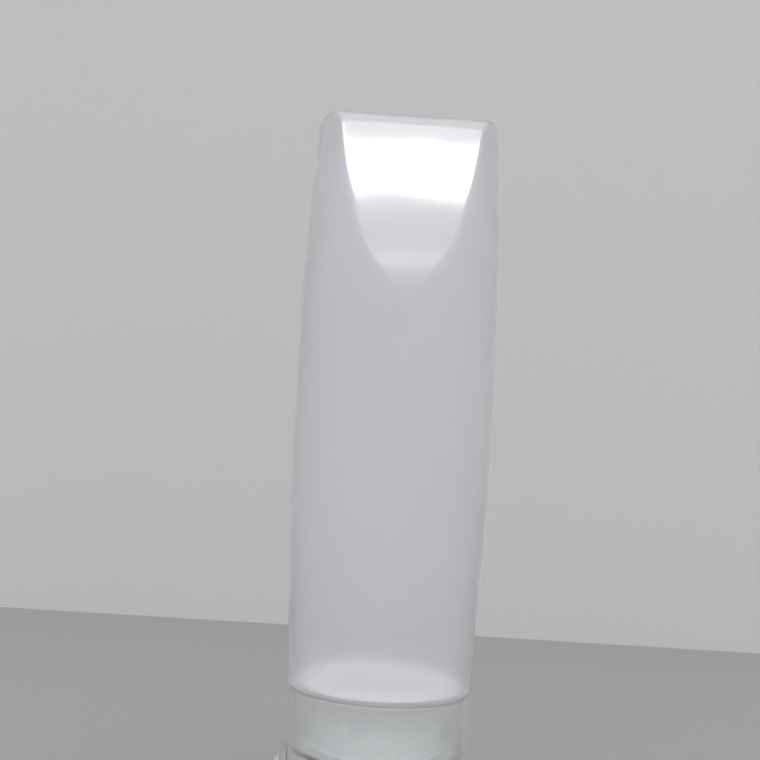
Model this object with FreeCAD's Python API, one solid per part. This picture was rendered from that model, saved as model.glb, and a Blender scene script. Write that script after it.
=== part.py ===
"""Frosted travel bottle that stands upside down on its flip-top cap. Millimetres, +Z up, lid's face at z = 0."""
import FreeCAD
import Part
import math
import os

from FreeCAD import Vector

# Bottle body
body_radius = 20.0
body_height = 111.0
belly_above_shoulder = 66.0
side_arc_radius = 840.0
body_wall = 1.0
facet_length = 38.0
facet_half_at_end = 11.7
end_edge_round = 3.6
crease_round = 1.6
shoulder_round = 1.2
least_inner_round = 0.4

# Neck and its screw thread
neck_height = 9.6
neck_radius = 9.95
neck_bore_radius = 8.5
neck_root_bevel = 0.8
thread_pitch = 3.175
thread_turns = 1.25
thread_height = 1.0
thread_root_width = 1.5
thread_crest_width = 0.8
thread_from_rim = 1.6
thread_radial_clearance = 0.25
thread_flank_clearance = 0.2
thread_bite = 0.3

# Cap base
cap_rim_radius = 17.3
cap_wall = 1.2
cap_taper_per_mm = 0.018
shoulder_clearance = 0.3
collar_wall = 1.3
collar_to_shoulder = 0.8
deck_thickness = 1.2
deck_to_parting = 5.2
spout_bore_radius = 1.6
spout_wall = 1.0
spout_draft = 0.4
spout_below_parting = 2.0

# Washer between the neck's rim and the deck
washer_thickness = 1.0
washer_inner_radius = 6.0
washer_side_clearance = 0.3

# Lid and the snap ring that it closes over
lid_height = 9.0
parting_gap = 0.15
lid_face_thickness = 1.3
lid_edge_round = 1.0
snap_ring_depth = 1.2
snap_ring_wall = 1.0
snap_ring_clearance = 0.2
plug_clearance = 0.1
plug_entry = 1.3
plug_tip_taper = 0.3
lip_reach = 0.9
lip_width = 10.0
lip_thickness = 1.4
scoop_radius = 9.0
scoop_depth = 1.0

# Hinge bosses and the thin strap between them
boss_reach = 1.0
boss_width = 9.0
boss_height = 5.3
boss_top_round = 1.0
boss_side_round = 0.6
strap_bow_radius = 1.9
strap_thickness = 0.45
strap_width = 8.0

# Heights above the lid's outer face
parting_z = lid_height
deck_outer_z = parting_z + deck_to_parting
deck_inner_z = deck_outer_z + deck_thickness
neck_rim_z = deck_inner_z + washer_thickness
shoulder_z = neck_rim_z + neck_height
belly_z = shoulder_z + belly_above_shoulder
end_z = shoulder_z + body_height
cap_rim_z = shoulder_z - shoulder_clearance

# Radii and places that follow from the sizes above
collar_bore_radius = neck_radius + thread_height + thread_radial_clearance
collar_radius = collar_bore_radius + collar_wall
facet_half_at_start = body_radius
facet_tilt = math.atan2(facet_half_at_start - facet_half_at_end, facet_length)


def cap_outer_radius(z):
    """Outer radius of the cap, which narrows a little from its rim to the lid's face."""
    return cap_rim_radius - cap_taper_per_mm * (cap_rim_z - z)


lid_inner_radius = cap_outer_radius(0) - cap_wall
snap_ring_radius = lid_inner_radius - snap_ring_clearance
boss_face_x = -(cap_outer_radius(parting_z) + boss_reach)
hinge_axis_x = boss_face_x - strap_bow_radius + strap_thickness / 2
hinge_axis_z = parting_z - parting_gap / 2
axis_z = Vector(0, 0, 1)
origin = Vector(0, 0, 0)


def revolved(points):
    """Solid of revolution about Z from a closed outline of (radius, z) corners."""
    corners = [Vector(radius, 0, z) for radius, z in points]
    outline = Part.makePolygon(corners + corners[:1])
    return Part.Face(outline).revolve(origin, axis_z, 360)


def tube(outer_radius, inner_radius, low_z, high_z):
    """Upright tube between two heights."""
    corners = [(inner_radius, low_z), (outer_radius, low_z), (outer_radius, high_z), (inner_radius, high_z)]
    return revolved(corners)


def side_radius(z, inset):
    """Radius at height z of the gently bulging side, moved inwards by inset."""
    arc_radius = side_arc_radius - inset
    return body_radius - side_arc_radius + math.sqrt(arc_radius ** 2 - (z - belly_z) ** 2)


def facet_cutter(inset):
    """Block whose inner face is the front facet, moved inwards by inset."""
    reach = 2 * body_radius
    block = Part.makeBox(2 * reach, reach, 2 * body_height)
    block.translate(Vector(-reach, -reach, -body_height))
    block.rotate(origin, Vector(1, 0, 0), -math.degrees(facet_tilt))
    shift = Vector(0, math.cos(facet_tilt) * inset, -math.sin(facet_tilt) * inset)
    block.translate(Vector(0, -facet_half_at_end, end_z) + shift)
    return block


def at_height(edge, z):
    """Whether the whole edge lies at height z."""
    box = edge.BoundBox
    return abs(box.ZMin - z) < 1e-4 and abs(box.ZMax - z) < 1e-4


def on_side(solid, edge):
    """Whether the edge bounds the bulging side face and isn't its seam."""
    for face in solid.ancestorsOfType(edge, Part.Face):
        if face.Surface.TypeId == "Part::GeomSurfaceOfRevolution":
            return not edge.isSeam(face)
    return False


def body_form(inset):
    """Closed form of the body: bulging round side, two sloping facets and rounded edges."""
    low = shoulder_z + inset
    high = end_z - inset
    low_corner = Vector(side_radius(low, inset), 0, low)
    high_corner = Vector(side_radius(high, inset), 0, high)
    belly = Vector(body_radius - inset, 0, belly_z)
    side = Part.Arc(low_corner, belly, high_corner).toShape()
    rest = Part.makePolygon([high_corner, Vector(0, 0, high), Vector(0, 0, low), low_corner])
    form = Part.Face(Part.Wire([side] + rest.Edges)).revolve(origin, axis_z, 360)
    front = facet_cutter(inset)
    back = front.copy()
    back.rotate(origin, axis_z, 180)
    form = form.cut(front).cut(back)
    ends = [e for e in form.Edges if at_height(e, high) and e.Curve.TypeId == "Part::GeomLine"]
    form = form.makeFillet(max(end_edge_round - inset, least_inner_round), ends)
    creases = [e for e in form.Edges if on_side(form, e) and not at_height(e, low)]
    form = form.makeFillet(max(crease_round - inset, least_inner_round), creases)
    shoulder = [e for e in form.Edges if at_height(e, low)]
    return form.makeFillet(max(shoulder_round - inset, least_inner_round), shoulder)


def thread_ridge(wall_radius, outwards, start_z):
    """Right-hand screw ridge on a wall, standing outwards (1) or inwards (-1), its root sunk into the wall."""
    helix = Part.makeHelix(thread_pitch, thread_pitch * thread_turns, wall_radius)
    root = wall_radius - outwards * thread_bite
    crest = wall_radius + outwards * thread_height
    corners = [
        Vector(root, 0, -thread_root_width / 2),
        Vector(crest, 0, -thread_crest_width / 2),
        Vector(crest, 0, thread_crest_width / 2),
        Vector(root, 0, thread_root_width / 2),
    ]
    section = Part.makePolygon(corners + corners[:1])
    ridge = Part.Wire(helix.Edges).makePipeShell([section], True, True)
    ridge.translate(Vector(0, 0, start_z))
    return Part.Solid(ridge) if ridge.ShapeType == "Shell" else ridge


def thread_start_z():
    """Height of the middle of the neck thread where it begins beside the rim."""
    return neck_rim_z + thread_from_rim + thread_root_width / 2


def make_bottle():
    """Hollow body with its neck, bore and outside thread."""
    neck_outline = [
        (neck_bore_radius, neck_rim_z),
        (neck_radius, neck_rim_z),
        (neck_radius, shoulder_z - neck_root_bevel),
        (neck_radius + neck_root_bevel, shoulder_z),
        (neck_radius + neck_root_bevel, shoulder_z + body_wall / 2),
        (neck_bore_radius, shoulder_z + body_wall / 2),
    ]
    shell = body_form(0).cut(body_form(body_wall))
    mouth = Part.makeCylinder(neck_bore_radius, 2 * neck_height, Vector(0, 0, neck_rim_z - neck_height / 2))
    shell = shell.cut(mouth).fuse(revolved(neck_outline))
    return shell.fuse(thread_ridge(neck_radius, 1, thread_start_z())).removeSplitter()


def boss(upwards):
    """Hinge boss on the cap's outside, reaching up (1) or down (-1) from the parting line."""
    root_x = -(cap_outer_radius(parting_z) - cap_wall / 2)
    far_z = upwards * boss_height
    outline = Part.makePolygon([
        Vector(root_x, 0, 0),
        Vector(boss_face_x, 0, 0),
        Vector(boss_face_x, 0, far_z),
        Vector(root_x, 0, far_z),
        Vector(root_x, 0, 0),
    ])
    block = Part.Face(outline).extrude(Vector(0, boss_width, 0))
    block.translate(Vector(0, -boss_width / 2, 0))
    far_edges = [
        e for e in block.Edges
        if at_height(e, far_z) and abs(e.BoundBox.XMax - boss_face_x) < 1e-4
    ]
    block = block.makeFillet(boss_top_round, far_edges)
    upright = [
        e for e in block.Edges
        if e.BoundBox.YLength < 1e-4 and e.BoundBox.XMax < boss_face_x + boss_top_round / 2
    ]
    block = block.makeFillet(boss_side_round, upright)
    block.translate(Vector(0, 0, parting_z - (parting_gap if upwards < 0 else 0)))
    hollow = Part.makeCylinder(cap_outer_radius(parting_z) - cap_wall / 2, 2 * shoulder_z)
    return block.cut(hollow)


def make_cap_base():
    """Skirt, deck, threaded collar, spout, snap ring and upper hinge boss in one moulding."""
    spout_tip_z = parting_z - spout_below_parting
    spout_radius = spout_bore_radius + spout_wall
    ring_z = parting_z - snap_ring_depth
    ring_inner = snap_ring_radius - snap_ring_wall
    collar_z = shoulder_z - collar_to_shoulder
    outline = [
        (spout_bore_radius, deck_inner_z),
        (collar_bore_radius, deck_inner_z),
        (collar_bore_radius, collar_z),
        (collar_radius, collar_z),
        (collar_radius, deck_inner_z),
        (cap_outer_radius(deck_inner_z) - cap_wall, deck_inner_z),
        (cap_rim_radius - cap_wall, cap_rim_z),
        (cap_rim_radius, cap_rim_z),
        (cap_outer_radius(parting_z), parting_z),
        (snap_ring_radius, parting_z),
        (snap_ring_radius, ring_z),
        (ring_inner, ring_z),
        (ring_inner, deck_outer_z),
        (spout_radius + spout_draft, deck_outer_z),
        (spout_radius, spout_tip_z),
        (spout_bore_radius, spout_tip_z),
    ]
    scoop = Part.makeSphere(scoop_radius)
    scoop.translate(Vector(cap_outer_radius(parting_z) + scoop_radius - scoop_depth, 0, parting_z))
    apart = (thread_root_width + thread_crest_width) / 2 + thread_flank_clearance
    ridge = thread_ridge(collar_bore_radius, -1, thread_start_z() + apart)
    return revolved(outline).cut(scoop).fuse([ridge, boss(1)]).removeSplitter()


def make_lid():
    """Shallow cup with its plug pin, thumb lip and lower hinge boss."""
    rim_z = parting_z - parting_gap
    plug_radius = spout_bore_radius - plug_clearance
    plug_tip_z = parting_z - spout_below_parting + plug_entry
    outline = [
        (0, 0),
        (cap_outer_radius(0), 0),
        (cap_outer_radius(rim_z), rim_z),
        (lid_inner_radius, rim_z),
        (lid_inner_radius, lid_face_thickness),
        (plug_radius, lid_face_thickness),
        (plug_radius, plug_tip_z - plug_entry),
        (plug_radius - plug_tip_taper, plug_tip_z),
        (0, plug_tip_z),
    ]
    cup = revolved(outline)
    foot_edge = [e for e in cup.Edges if at_height(e, 0)]
    cup = cup.makeFillet(lid_edge_round, foot_edge)
    lip_inner = lid_inner_radius + cap_wall / 2
    lip = tube(cap_outer_radius(rim_z) + lip_reach, lip_inner, rim_z - lip_thickness, rim_z)
    lip_box = Part.makeBox(2 * body_radius, lip_width, 2 * lid_height, Vector(0, -lip_width / 2, 0))
    return cup.fuse([lip.common(lip_box), boss(-1)]).removeSplitter()


def make_hinge_strap():
    """Thin web that bows outwards from one boss face to the other."""
    start = Vector(boss_face_x, -strap_width / 2, hinge_axis_z)
    along = Vector(0, 1, 0)
    bow = Part.makeCylinder(strap_bow_radius, strap_width, start, along)
    bow = bow.cut(Part.makeCylinder(strap_bow_radius - strap_thickness, strap_width, start, along))
    behind = Part.makeBox(2 * strap_bow_radius, 2 * strap_width, 4 * strap_bow_radius)
    behind.translate(Vector(boss_face_x, -strap_width, start.z - 2 * strap_bow_radius))
    return bow.cut(behind)


def make_seal_washer():
    """Soft ring between the neck's rim and the deck."""
    outer_radius = collar_bore_radius - washer_side_clearance
    return tube(outer_radius, washer_inner_radius, deck_inner_z, neck_rim_z)


def main():
    """Build each piece and write it to its own STEP file."""
    os.makedirs("parts", exist_ok=True)
    pieces = {
        "bottle": make_bottle(),
        "cap_base": make_cap_base(),
        "lid": make_lid(),
        "hinge_strap": make_hinge_strap(),
        "seal_washer": make_seal_washer(),
    }
    for name, shape in pieces.items():
        solids = shape.Solids
        if len(solids) != 1 or not solids[0].isValid():
            raise ValueError(f"{name} isn't one valid solid")
        solids[0].exportStep(f"parts/{name}.step")
        print(f"{name}: {solids[0].Volume:.1f} mm3")
    print(f"lid turns about Y at x {hinge_axis_x:.4f}, z {hinge_axis_z:.4f}")


if __name__ == "__main__":
    main()
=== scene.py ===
"""Frosted travel bottle that stands on its flip-top cap: its shapes, finishes and stage.

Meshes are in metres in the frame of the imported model: +Z up along the bottle, the lid's face on z = 0, the
hinge towards -X and the flat that faces the camera towards -Y.
"""
import math

import bpy
import numpy as np
from bpy.props import FloatProperty, FloatVectorProperty, PointerProperty
from mathutils import Matrix, Vector


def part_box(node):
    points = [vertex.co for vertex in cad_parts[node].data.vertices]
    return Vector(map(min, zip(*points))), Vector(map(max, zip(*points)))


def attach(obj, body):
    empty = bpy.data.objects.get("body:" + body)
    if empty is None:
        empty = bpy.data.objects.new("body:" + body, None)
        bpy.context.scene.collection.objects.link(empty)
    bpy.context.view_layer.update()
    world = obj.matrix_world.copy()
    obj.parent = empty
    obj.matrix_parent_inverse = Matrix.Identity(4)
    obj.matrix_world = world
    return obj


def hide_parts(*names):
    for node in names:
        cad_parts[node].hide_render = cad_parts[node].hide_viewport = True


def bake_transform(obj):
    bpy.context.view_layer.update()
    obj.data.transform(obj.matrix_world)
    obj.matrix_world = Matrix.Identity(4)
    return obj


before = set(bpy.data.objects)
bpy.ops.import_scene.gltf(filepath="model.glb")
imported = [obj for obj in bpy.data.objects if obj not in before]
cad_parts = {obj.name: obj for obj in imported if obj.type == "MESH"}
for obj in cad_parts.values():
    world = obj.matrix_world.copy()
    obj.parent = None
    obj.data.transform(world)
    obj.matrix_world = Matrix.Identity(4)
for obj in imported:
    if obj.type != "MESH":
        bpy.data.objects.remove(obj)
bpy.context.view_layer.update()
bottle_low, bottle_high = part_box("bottle")
cap_low, cap_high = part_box("cap_base")
lid_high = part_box("lid")[1]
seal_low, seal_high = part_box("seal_washer")

bl_info = {
    "name": "Frosted Travel Bottle",
    "version": (1, 0, 0),
    "blender": (4, 5, 0),
    "location": "3D View > Sidebar > Travel Bottle",
    "description": "Builds a frosted squeeze bottle, its screw cap with flip lid, and a plain stage",
    "category": "Add Mesh",
}


# Values that a user would change

def number(name, description, default, **kind):
    """Property for a number that isn't negative."""
    return FloatProperty(name=name, description=description, default=default, min=0.0, **kind)


def length(name, description, default):
    """Property for a length in metres."""
    return number(name, description, default, precision=5, unit="LENGTH")


def share(name, description, default):
    """Property for a share from nothing to all."""
    return number(name, description, default, max=1.0, subtype="FACTOR")


def power(name, description, default):
    """Property for a lamp's power in watts."""
    return number(name, description, default, unit="POWER")


def angle(name, description, degrees):
    """Property for an angle whose default is given in degrees."""
    return FloatProperty(name=name, description=description, default=math.radians(degrees), subtype="ANGLE")


def tint(name, description, default):
    """Property for a linear colour."""
    return FloatVectorProperty(
        name=name, description=description, default=default, size=3, min=0.0, max=1.0, subtype="COLOR")


class BottleSizes(bpy.types.PropertyGroup):
    """Sizes of the blow-moulded body, its neck and its thread."""
    body_radius: length("Body Radius", "Largest radius of the bulging side", bottle_high.x)
    end_height: length("End Height", "Height of the closed end above the lid's face", bottle_high.z)
    shoulder_height: length("Shoulder Height", "Height of the flat shoulder round the neck", 0.026)
    belly_height: length("Belly Height", "Height at which the body is widest", 0.092)
    side_arc_radius: length("Side Arc Radius", "Radius of the arc that the side follows", 0.84)
    wall: length("Wall", "Thickness of the body's wall", 0.001)
    shoulder_wall: length("Shoulder Wall", "Thickness of the flat shoulder", 0.0006)
    flat_length: length("Flat Length", "Height of each sloping flat below the closed end", 0.038)
    flat_half_depth: length("Flat Half Depth", "Distance from the axis to a flat at its upper end", 0.0117)
    end_edge_round: length("End Edge Round", "Radius between a flat and the closed end", 0.0036)
    crease_round: length("Crease Round", "Radius between a flat or the end and the side", 0.0009)
    shoulder_round: length("Shoulder Round", "Radius between the side and the shoulder", 0.0006)
    seam_height: length("Seam Height", "How far the line of the mould's two halves stands out", 0.00003)
    seam_width: length("Seam Width", "Half the width of the mould line", 0.0003)
    waviness: length("Waviness", "Unevenness of the blow-moulded wall", 0.000008)
    neck_radius: length("Neck Radius", "Outer radius of the neck between the thread's turns", 0.00995)
    neck_bore_radius: length("Neck Bore Radius", "Inner radius of the neck", 0.0085)
    rim_height: length("Rim Height", "Height of the neck's rim above the lid's face", bottle_low.z)
    thread_pitch: length("Thread Pitch", "Rise of the thread in one turn", 0.003175)
    thread_height: length("Thread Height", "How far the thread stands out from its wall", 0.001)
    thread_root_width: length("Thread Root Width", "Width of the thread at its wall", 0.0015)
    thread_crest_width: length("Thread Crest Width", "Width of the thread at its top", 0.0008)
    thread_turns: number("Thread Turns", "Number of turns of the thread", 1.25)
    thread_from_rim: length("Thread From Rim", "Plain neck between the rim and the thread's start", 0.0016)


class CapSizes(bpy.types.PropertyGroup):
    """Sizes of the screw cap, its flip lid, the hinge and the sealing ring."""
    rim_radius: length("Rim Radius", "Outer radius of the skirt at its open rim", 0.0173)
    rim_height: length("Rim Height", "Height of the skirt's rim above the lid's face", cap_high.z + 0.0002)
    taper: number("Taper", "How much the radius narrows per length towards the lid", 0.018)
    wall: length("Skirt Wall", "Thickness of the skirt", 0.0012)
    collar_bore_radius: length("Collar Bore Radius", "Inner radius of the threaded collar", 0.0112)
    collar_radius: length("Collar Radius", "Outer radius of the threaded collar", 0.0125)
    collar_height: length("Collar Height", "Height of the collar's rim", 0.0252)
    deck_inner_height: length("Deck Inner Height", "Height of the deck's side that faces the neck", 0.0154)
    deck_outer_height: length("Deck Outer Height", "Height of the deck's side that faces the lid", 0.0142)
    parting_height: length("Parting Height", "Height of the line between cap and lid", 0.009)
    thread_flank_gap: length("Thread Flank Gap", "Play between the two threads' flanks", 0.0002)
    spout_bore_radius: length("Spout Bore Radius", "Radius of the pouring hole", 0.0016)
    spout_wall: length("Spout Wall", "Wall of the spout at its tip", 0.001)
    spout_tip_height: length("Spout Tip Height", "Height of the spout's tip", cap_low.z)
    ring_radius: length("Ring Radius", "Outer radius of the ring that the lid snaps over", 0.0154374)
    ring_wall: length("Ring Wall", "Wall of that ring", 0.001)
    ring_depth: length("Ring Depth", "How far the ring stands into the lid", 0.0012)
    bead_height: length("Bead Height", "How far the ring's snap bead stands out", 0.0001)
    lid_rim_height: length("Lid Rim Height", "Height of the lid's rim", lid_high.z)
    lid_inner_radius: length("Lid Inner Radius", "Inner radius of the lid", 0.0156374)
    lid_face: length("Lid Face", "Thickness of the lid's face", 0.0013)
    lid_edge_round: length("Lid Edge Round", "Radius round the lid's face", 0.001)
    lid_recess: length("Lid Recess", "Depth of the shallow recess in the lid's face", 0.0003)
    lid_recess_radius: length("Lid Recess Radius", "Radius of that recess at its floor", 0.0126)
    plug_radius: length("Plug Radius", "Radius of the pin that closes the spout", 0.0015)
    plug_tip_height: length("Plug Tip Height", "Height of the pin's tip", 0.0083)
    lip_reach: length("Lip Reach", "How far the thumb lip stands out", 0.0009)
    lip_width: length("Lip Width", "Width of the thumb lip", 0.01)
    lip_thickness: length("Lip Thickness", "Thickness of the thumb lip", 0.0014)
    scoop_radius: length("Scoop Radius", "Radius of the thumb scoop above the lip", 0.009)
    scoop_depth: length("Scoop Depth", "Depth of the thumb scoop", 0.001)
    boss_face: length("Boss Face", "Distance from the axis to the hinge bosses' flat face", 0.017999)
    boss_width: length("Boss Width", "Width of the hinge bosses", 0.009)
    boss_height: length("Boss Height", "Height of each hinge boss from the parting line", 0.0053)
    boss_top_round: length("Boss Top Round", "Radius at the boss's far edge", 0.0007)
    boss_side_round: length("Boss Side Round", "Radius at the boss's upright edges", 0.0006)
    strap_width: length("Strap Width", "Width of the living hinge", 0.008)
    strap_bow_radius: length("Strap Bow Radius", "Outer radius of the hinge's bow", 0.0019)
    strap_thickness: length("Strap Thickness", "Thickness of the hinge at its ends", 0.00045)
    seal_bore_radius: length("Seal Bore Radius", "Inner radius of the foam sealing ring", 0.006)
    edge_round: length("Edge Round", "Small radius on moulded edges", 0.00025)


class FinishValues(bpy.types.PropertyGroup):
    """Colours and frosting of the three plastics."""
    body_tint: tint("Body Tint", "Milky colour of the squeeze bottle", (0.933, 0.929, 0.951))
    body_milk_tint: tint("Body Milk Tint", "Colour where the bottle's wall is thick", (0.985, 0.984, 0.99))
    body_clearness: share("Body Clearness", "Share of the light that passes the body's wall", 0.87)
    shoulder_clearness: share("Shoulder Clearness", "The same share at the thick shoulder and neck", 0.0)
    body_frost: share("Body Frost", "Roughness of the body's frosted skin", 0.3)
    cap_tint: tint("Cap Tint", "Colour of the cap and lid", (0.95, 0.956, 0.962))
    cap_milk_tint: tint("Cap Milk Tint", "Colour of the cap where it is cloudy", (0.955, 0.962, 0.96))
    cap_clearness: share("Cap Clearness", "Share of the light that passes the cap's wall", 0.9)
    collar_clearness: share("Collar Clearness", "The same share at the threaded collar", 0.15)
    cap_frost: share("Cap Frost", "Roughness of the cap's skin", 0.23)
    seal_tint: tint("Seal Tint", "Colour of the foam sealing ring", (0.86, 0.86, 0.84))


class StageValues(bpy.types.PropertyGroup):
    """Camera, floor and lights."""
    camera_distance: length("Camera Distance", "Level distance from the bottle's axis", 0.165651)
    camera_height: length("Camera Height", "Height of the camera above the lid's face", 0.065456)
    camera_yaw: angle("Camera Yaw", "Turn of the view to the right", -1.066)
    camera_pitch: angle("Camera Pitch", "Tilt of the view upwards", 6.758)
    camera_roll: angle("Camera Roll", "Roll of the camera about its view", -3.313)
    camera_turn: angle("Camera Turn", "Turn of the whole camera round the bottle", -3.045)
    camera_lens: number("Camera Lens", "Focal length on a 36 mm wide sensor", 39.124, unit="CAMERA")
    floor_tint: tint("Floor Tint", "Colour of the plain floor", (0.38, 0.377, 0.373))
    backdrop_tint: tint("Backdrop Tint", "Colour of the plain backdrop", (0.78, 0.78, 0.77))
    card_tint: tint("Card Tint", "Colour of the card under the softboxes", (0.5, 0.5, 0.51))
    backdrop_distance: length("Backdrop Distance", "Distance from the bottle to the backdrop", 0.203)
    fill_tint: tint("Fill Tint", "Colour of the light from all round", (0.95, 0.97, 1.0))
    fill_strength: number("Fill Strength", "Strength of the light from all round", 0.355)
    top_strength: number("Top Strength", "Extra strength of the light from above", 1.3)
    key_power: power("Key Power", "Power of the bright softbox that the flat mirrors", 0.62)
    high_power: power("High Power", "Power of the dimmer softbox above it", 0.07)
    middle_power: power("Middle Power", "Power of the dimmer softbox under it", 0.022)
    low_power: power("Low Power", "Power of the lowest softbox", 0.039)
    side_power: power("Side Power", "Power of each softbox beside the bottle", 0.105)


class TravelBottle(bpy.types.PropertyGroup):
    """All values of the travel bottle."""
    bottle: PointerProperty(type=BottleSizes)
    cap: PointerProperty(type=CapSizes)
    finish: PointerProperty(type=FinishValues)
    stage: PointerProperty(type=StageValues)


# Outlines and grids

ARC_POINTS = 6  # points on a rounded corner
ROUND_MARGIN = 0.00004  # distance of the two extra points beside it
SAME_POINT = 0.0000001  # neighbours nearer than this are one point
ON_WALL = 0.000001  # a point nearer to a wall than this is on it
NEVER_ZERO = 0.000001  # keeps a divisor from nothing
LEAST_ANGLE = 0.0004  # least step between two angles
CLOSE_SPAN = 0.03  # angle on each side of a place within which the angles are closer
SHARP_ANGLE = math.radians(40)  # edges sharper than this aren't smoothed
HALVINGS = 34  # steps of the search along a ray, which ends far below a micrometre
UP = np.array([0, 0, 1.0])


def rounded(corners, closed):
    """Outline of (radius, height) points through corners of (radius, height, round).

    Each corner P becomes the rational curve
    ((1-s)^2 A + 2 w s (1-s) P + s^2 B) / ((1-s)^2 + 2 w s (1-s) + s^2), an exact arc from A to B on its two
    sides, where w is the sine of half the inner angle. A point a little before A and one a little after B
    keep the flats beside it flat.
    """
    corners = np.asarray(corners, float)
    place, bend = corners[:, :2], corners[:, 2:]
    before, after = np.roll(place, 1, 0) - place, np.roll(place, -1, 0) - place
    before = before / np.linalg.norm(before, axis=1, keepdims=True)
    after = after / np.linalg.norm(after, axis=1, keepdims=True)
    cosine = np.sum(before * after, 1, keepdims=True)
    half_sine = np.sqrt((1 - cosine) / 2)
    half_cosine = np.sqrt((1 + cosine) / 2)
    reach = bend * half_cosine / np.maximum(half_sine, NEVER_ZERO)
    start, finish = (place + before * reach)[:, None], (place + after * reach)[:, None]
    s = np.linspace(0, 1, ARC_POINTS)[None, :, None]
    first, weight, last = (1 - s) ** 2, 2 * half_sine[:, None] * s * (1 - s), s ** 2
    arc = (first * start + weight * place[:, None] + last * finish) / (first + weight + last)
    margin = np.where(bend > 0, ROUND_MARGIN, 0.0)[:, None]
    arc = np.concatenate([start + before[:, None] * margin, arc, finish + after[:, None] * margin], 1)
    arc = arc.reshape(-1, 2)
    if not closed:
        per_corner = ARC_POINTS + 2
        arc = np.vstack([place[:1], arc[per_corner:-per_corner], place[-1:]])
    apart = np.linalg.norm(np.diff(arc, axis=0), axis=1) > SAME_POINT
    return arc[np.append(True, apart)]


def subdivided(line, step):
    """The same broken line with points added, so that no run is longer than step(middle of the run)."""
    runs = np.diff(line, axis=0)
    middle = line[:-1] + runs / 2
    counts = np.maximum(np.ceil(np.hypot(runs[:, 0], runs[:, 1]) / step(middle)), 1).astype(int)
    which = np.repeat(np.arange(len(runs)), counts)
    part = (np.arange(len(which)) - np.repeat(np.cumsum(counts) - counts, counts)) / counts[which]
    return np.vstack([line[which] + runs[which] * part[:, None], line[-1:]])


def angles_round(count, places=(), extra=0):
    """Angles once round: count even ones, and extra closer ones about each of the places."""
    even = np.linspace(0, 2 * np.pi, count, endpoint=False)
    close = (np.asarray(places)[:, None] + np.linspace(-CLOSE_SPAN, CLOSE_SPAN, extra)).ravel() % (2 * np.pi)
    angles = np.unique(np.round(np.concatenate([even, close]), 5))
    return angles[np.append(np.diff(angles) > LEAST_ANGLE, True)]


def surface(points, loop):
    """Vertices and faces of a closed surface from a grid of points whose second index goes once round.

    With loop, the first index closes on itself as well. Without it, the first and the last row are one point
    each, joined to the next row by triangles. The faces are turned outwards by the sign of the volume that
    they enclose.
    """
    rows, columns = points.shape[:2]
    if loop:
        vertices = points.reshape(-1, 3)
        index = np.arange(rows * columns).reshape(rows, columns)
        index = np.vstack([index, index[:1]])
    else:
        vertices = np.concatenate([points[:1, 0], points[1:-1].reshape(-1, 3), points[-1:, 0]])
        inner = 1 + np.arange((rows - 2) * columns).reshape(rows - 2, columns)
        last = np.full((1, columns), len(vertices) - 1)
        index = np.vstack([np.zeros((1, columns), int), inner, last])
    index = np.hstack([index, index[:, :1]])
    quads = np.stack([index[:-1, :-1], index[1:, :-1], index[1:, 1:], index[:-1, 1:]], -1)
    if loop:
        triangles = np.empty((0, 3), int)
        quads = quads.reshape(-1, 4)
    else:
        triangles = np.concatenate([quads[0][:, [0, 1, 2]], quads[-1][:, [0, 1, 3]]])
        quads = quads[1:-1].reshape(-1, 4)
    halves = np.concatenate([triangles, quads[:, :3], quads[:, [0, 2, 3]]])
    a, b, c = (vertices[halves[:, i]] for i in range(3))
    if np.sum(a * np.cross(b, c)) < 0:
        triangles, quads = triangles[:, ::-1], quads[:, ::-1]
    return vertices, [*triangles.tolist(), *quads.tolist()]


def add_piece(name, points, loop, materials, which=None):
    """Object at the origin from a closed grid, smooth apart from its sharp edges.

    which gives the number of each face's material from the face's middle.
    """
    vertices, faces = surface(points, loop)
    mesh = bpy.data.meshes.new(name)
    mesh.from_pydata(vertices.tolist(), [], faces)
    mesh.shade_smooth()
    mesh.set_sharp_from_angle(angle=SHARP_ANGLE)
    for material in materials:
        mesh.materials.append(material)
    if which:
        middle = np.empty(3 * len(mesh.polygons))
        mesh.polygons.foreach_get("center", middle)
        mesh.polygons.foreach_set("material_index", which(middle.reshape(-1, 3)).astype(np.int32))
    piece = bpy.data.objects.new(name, mesh)
    bpy.context.scene.collection.objects.link(piece)
    return piece


def turned(outline, angles):
    """Grid (r cos a, r sin a, z) of an outline carried round Z.

    The outline is a grid of (r, z) itself, whose rows hold either one point for all angles or one for each.
    """
    radius, height = outline[..., 0], outline[..., 1]
    return np.stack(np.broadcast_arrays(radius * np.cos(angles), radius * np.sin(angles), height), -1)


def rounded_meeting(first, second, cosine, radius):
    """Signed distance to the common inside of two surfaces, with a round of that radius along their edge.

    first and second are the distances to the two surfaces, and cosine is that between their normals. With u
    and v those distances plus the radius, it is sqrt((u^2 - 2 c u v + v^2) / (1 - c^2)) - radius where the
    point lies between the two normals seen from the round's centre line, and the larger distance elsewhere.
    """
    u, v = first + radius, second + radius
    square = (u * u - 2 * cosine * u * v + v * v) / np.maximum(1 - cosine ** 2, NEVER_ZERO)
    between = (u > cosine * v) & (v > cosine * u)
    return np.where(between, np.sqrt(np.maximum(square, 0)) - radius, np.maximum(first, second))


def joined(first, second, radius):
    """Signed distance to two forms together, with a fillet of that radius where they meet squarely."""
    return -rounded_meeting(-first, -second, 0, radius)


def surface_along(distance, start, direction, far):
    """Points where rays leave the inside of a form, found by halving the interval from nothing to far."""
    low = np.zeros(direction.shape[:-1])
    high = np.full(direction.shape[:-1], far)
    for _ in range(HALVINGS):
        middle = (low + high) / 2
        inside = distance(start + middle[..., None] * direction) < 0
        low, high = np.where(inside, middle, low), np.where(inside, high, middle)
    return start + low[..., None] * direction


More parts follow.
